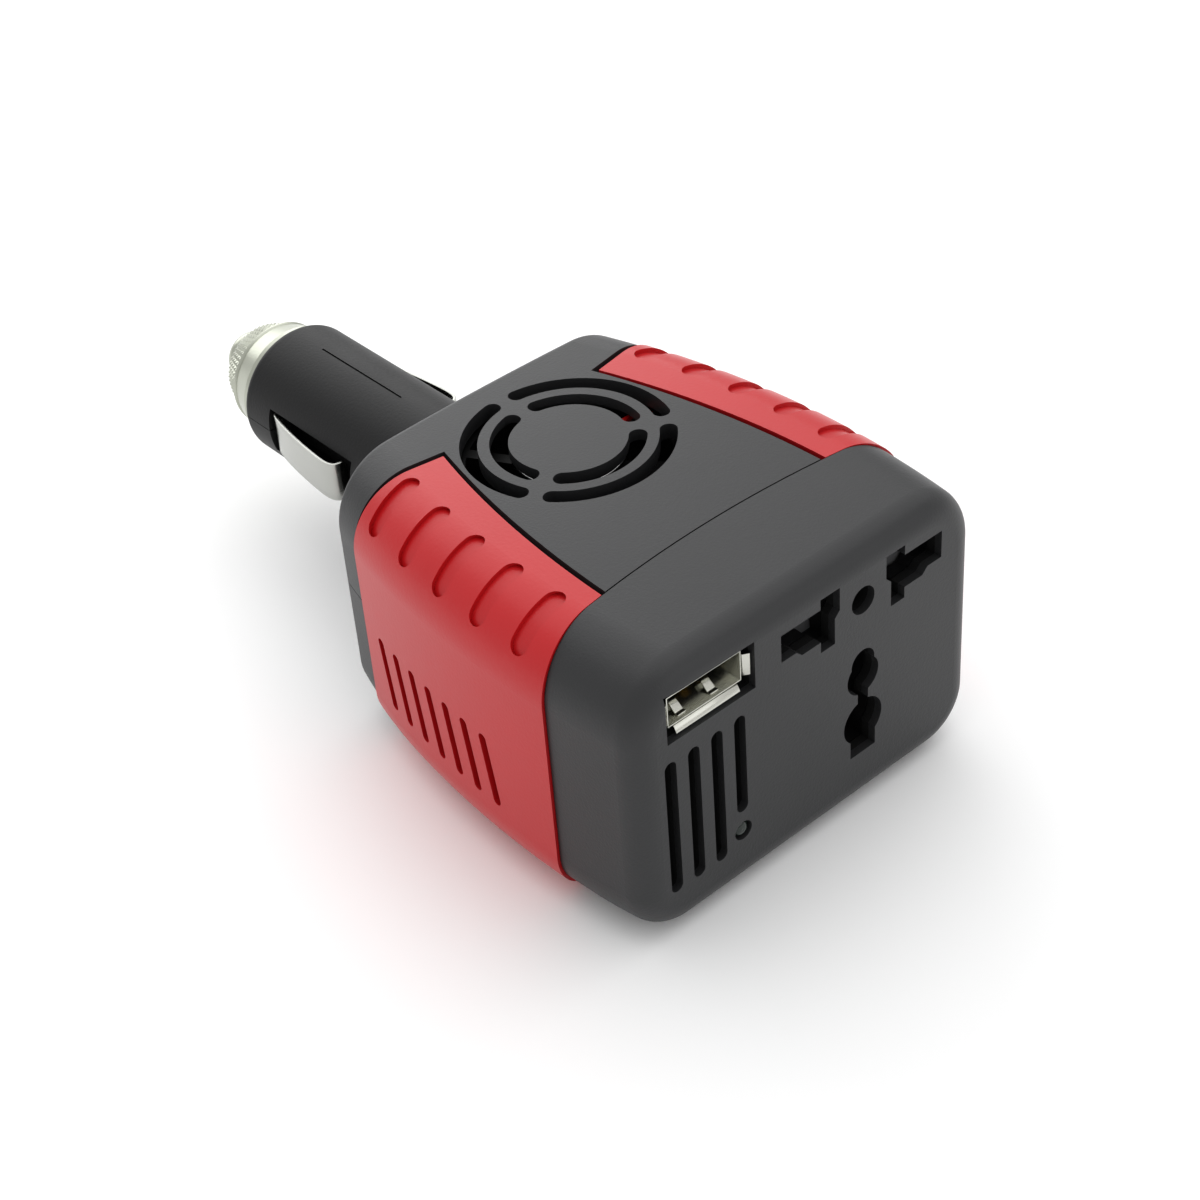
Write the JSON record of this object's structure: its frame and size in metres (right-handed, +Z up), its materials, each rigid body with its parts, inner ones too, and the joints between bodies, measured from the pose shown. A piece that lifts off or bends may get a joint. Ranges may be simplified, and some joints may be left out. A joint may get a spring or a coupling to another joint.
{
  "type": "power inverter",
  "caption": "Palm-sized power inverter with a mains outlet and a USB port on its front, red side grips, a fan grille on top and a plug for a 12 V vehicle socket at the back.",
  "frame": {"origin": "under the middle of the whole length, on the surface the inverter stands on", "axes": "+Z up, +Y from the outlet face towards the tip of the 12 V plug, +X to the right when facing the outlet"},
  "size_m": [0.064, 0.1234, 0.0432],
  "materials": {
    "black_casing": "satin, fine moulded texture",
    "red_grip": "semi-gloss, moulded in colour",
    "black_plug": "dull, fine moulded texture",
    "nickel": "bright nickel plate",
    "spring_steel": "drawn wire, bare",
    "screw_steel": "zinc plated",
    "contact_brass": "stamped, bare",
    "gold_contact": "thin gold plate",
    "socket_black": "dull",
    "shutter_grey": "smooth",
    "board_green": "solder mask over glass fibre laminate",
    "chip_black": "moulded epoxy",
    "ferrite": "sintered ferrite, dull",
    "copper_winding": "enamelled copper wire",
    "capacitor_sleeve": "shrunk sleeve",
    "heat_sink": "bare extrusion",
    "lamp_lens": "cloudy moulded resin",
    "fuse_tube": "clear",
    "wire_red": "soft insulation",
    "wire_black": "soft insulation",
    "label_white": "blank paper label"
  },
  "bodies": {
    "casing": {"left_grip": "red_grip", "right_grip": "red_grip", "top_shell": "black_casing", "bottom_shell": "black_casing", "casing_screws": "screw_steel", "front_cover": "black_casing", "outlet_block": "socket_black", "live_contact": "contact_brass", "neutral_contact": "contact_brass", "earth_contact": "contact_brass", "shutter_springs": "spring_steel", "usb_shell": "nickel", "usb_tongue": "socket_black", "usb_contacts": "gold_contact", "usb_board": "board_green", "usb_regulator": "chip_black", "indicator_lamp": "lamp_lens", "fan_frame": "socket_black", "fan_label": "label_white", "fan_stator": "copper_winding", "circuit_board": "board_green", "transformer_core": "ferrite", "transformer_winding": "copper_winding", "transformer_base": "chip_black", "input_capacitors": "capacitor_sleeve", "output_capacitor": "capacitor_sleeve", "power_transistors": "chip_black", "heat_sinks": "heat_sink", "choke_core": "ferrite", "choke_winding": "copper_winding", "controller_chip": "chip_black", "chip_legs": "nickel", "barrel_top": "black_plug", "barrel_bottom": "black_plug", "nose_cap": "nickel", "tip_spring": "spring_steel", "rear_contact": "contact_brass", "ground_strap": "nickel", "supply_lead_red": "wire_red", "supply_lead_black": "wire_black", "fan_lead_red": "wire_red", "fan_lead_black": "wire_black", "live_lead": "wire_black", "neutral_lead": "wire_red"},
    "tip": {"tip_pin": "nickel", "fuse_glass": "fuse_tube", "fuse_caps": "nickel", "fuse_wire": "spring_steel"},
    "left_contact": {"left_contact_spring": "nickel"},
    "right_contact": {"right_contact_spring": "nickel"},
    "fan": {"fan_rotor": "socket_black", "fan_shaft": "spring_steel"},
    "shutter": {"safety_shutter": "shutter_grey"}
  },
  "joints": [
    {"name": "tip_press", "type": "slide", "parent": "casing", "child": "tip", "axis": [0, -1, 0], "range_m": [0, 0.003], "stiffness_N_per_m": 1200, "springref_m": -0.0015, "deforming": ["tip_spring"]},
    {"name": "left_contact_press", "type": "hinge", "parent": "casing", "child": "left_contact", "pos_m": [-0.0094, 0.04045, 0.0216], "axis": [0, 0, 1], "range_deg": [0, 6], "stiffness_Nm_per_rad": 0.35},
    {"name": "right_contact_press", "type": "hinge", "parent": "casing", "child": "right_contact", "pos_m": [0.0094, 0.04045, 0.0216], "axis": [0, 0, -1], "range_deg": [0, 6], "stiffness_Nm_per_rad": 0.35},
    {"name": "fan_spin", "type": "hinge", "parent": "casing", "child": "fan", "pos_m": [0, -0.01695, 0.036], "axis": [0, 0, 1], "continuous": true},
    {"name": "shutter_slide", "type": "slide", "parent": "casing", "child": "shutter", "axis": [0, 0, -1], "range_m": [0, 0.0084], "stiffness_N_per_m": 60, "springref_m": -0.003, "deforming": ["shutter_springs"]}
  ]
}
